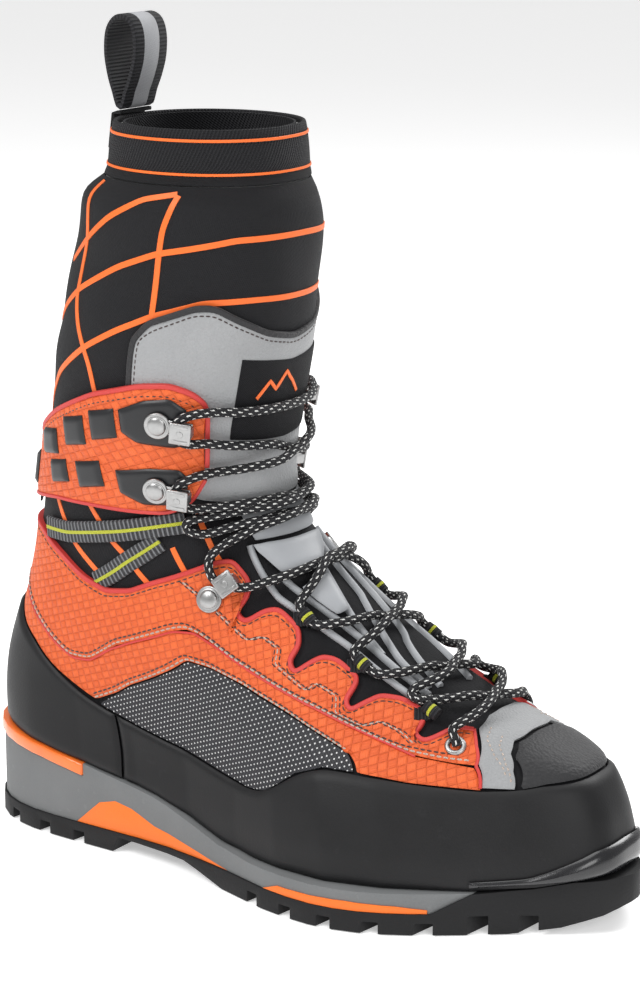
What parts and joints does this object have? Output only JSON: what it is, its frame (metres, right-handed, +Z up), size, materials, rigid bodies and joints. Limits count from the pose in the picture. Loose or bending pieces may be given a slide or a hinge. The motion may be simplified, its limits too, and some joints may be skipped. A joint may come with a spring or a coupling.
{
  "type": "mountaineering boot",
  "caption": "Right mountaineering boot with an integrated gaiter, lugged outsole, rubber rand, hooked ankle cuff, laced tongue and a rear pull loop.",
  "frame": {"origin": "on the floor plane under the arch, at the middle of the boot's length and on the line from the heel to the toe", "axes": "+X towards the toe, +Z up the shaft, +Y towards the medial side, so the lateral side faces -Y"},
  "size_m": [0.312, 0.1194, 0.3572],
  "materials": {
    "outsole_rubber": "matte black lugged rubber",
    "rand_rubber": "smooth satin black rubber",
    "midsole_foam": "matte grey moulded polyurethane foam",
    "orange_insert": "matte orange moulded insert",
    "welt_tpu": "slightly translucent orange TPU",
    "lime_tpu": "lime translucent TPU",
    "bumper_tpu": "gloss black TPU",
    "shank_nylon": "glass filled nylon",
    "board": "lasting board",
    "footbed_foam": "felt topped foam",
    "lining": "brushed light grey lining",
    "softshell": "fine woven black stretch softshell with orange printed lines",
    "orange_microfibre": "basket embossed orange microfibre, coral cut edge",
    "grey_microfibre": "fine grained grey microfibre",
    "mesh": "dark abrasion mesh with white dots",
    "toe_cap_microfibre": "black embossed microfibre",
    "grey_tpu": "satin light grey TPU",
    "black_tpu": "bevelled semi gloss black TPU",
    "steel": "satin steel",
    "lace_cord": "round braided black lace with white flecks",
    "webbing": "ribbed black webbing",
    "knit": "ribbed elastic knit with orange lines",
    "label": "woven label with an abstract orange mark"
  },
  "bodies": {
    "foot": {"outsole": "outsole_rubber", "midsole": "midsole_foam", "arch_insert": "orange_insert", "forefoot_insert": "orange_insert", "heel_welt": "welt_tpu", "heel_plug": "lime_tpu", "toe_bumper": "bumper_tpu", "shank": "shank_nylon", "insole_board": "board", "footbed": "footbed_foam", "foot_lining": "lining", "upper_base": "softshell", "heel_rand": "rand_rubber", "toe_rand": "rand_rubber", "toe_cap": "toe_cap_microfibre", "vamp_band": "grey_microfibre", "mesh_panel_lateral": "mesh", "mesh_panel_medial": "mesh", "side_band_lateral": "orange_microfibre", "side_band_medial": "orange_microfibre", "quarter_lateral": "orange_microfibre", "quarter_medial": "orange_microfibre", "tongue_guard": "grey_tpu", "lace_loops": "webbing", "toe_eyelets": "steel", "instep_hooks": "steel", "instep_rivets": "steel", "lace_lower": "lace_cord", "ankle_gaiter": "softshell", "ankle_lining": "lining", "ankle_straps": "webbing", "tongue_flex": "grey_tpu", "lace_crossing": "lace_cord"},
    "shaft": {"shaft_lining": "lining", "gaiter": "softshell", "collar_band": "knit", "tongue_top": "grey_microfibre", "tongue_label": "label", "cuff": "orange_microfibre", "cuff_tiles": "black_tpu", "hook_bases": "black_tpu", "cuff_hooks": "steel", "cuff_rivets": "steel", "lace_upper": "lace_cord", "side_tag": "webbing", "loop_anchor": "webbing"},
    "loop": {"pull_loop": "webbing"}
  },
  "joints": [
    {"name": "ankle_flex", "type": "hinge", "parent": "foot", "child": "shaft", "pos_m": [-0.062, 0, 0.112], "axis": [0, 1, 0], "range_deg": [-5, 12], "stiffness_Nm_per_rad": 20, "deforming": ["ankle_gaiter", "ankle_lining", "ankle_straps", "tongue_flex", "lace_crossing"]},
    {"name": "pull_loop_swing", "type": "hinge", "parent": "shaft", "child": "loop", "pos_m": [-0.08543, 0, 0.3192], "axis": [0, 1, 0], "range_deg": [-60, 40], "stiffness_Nm_per_rad": 0.05}
  ]
}
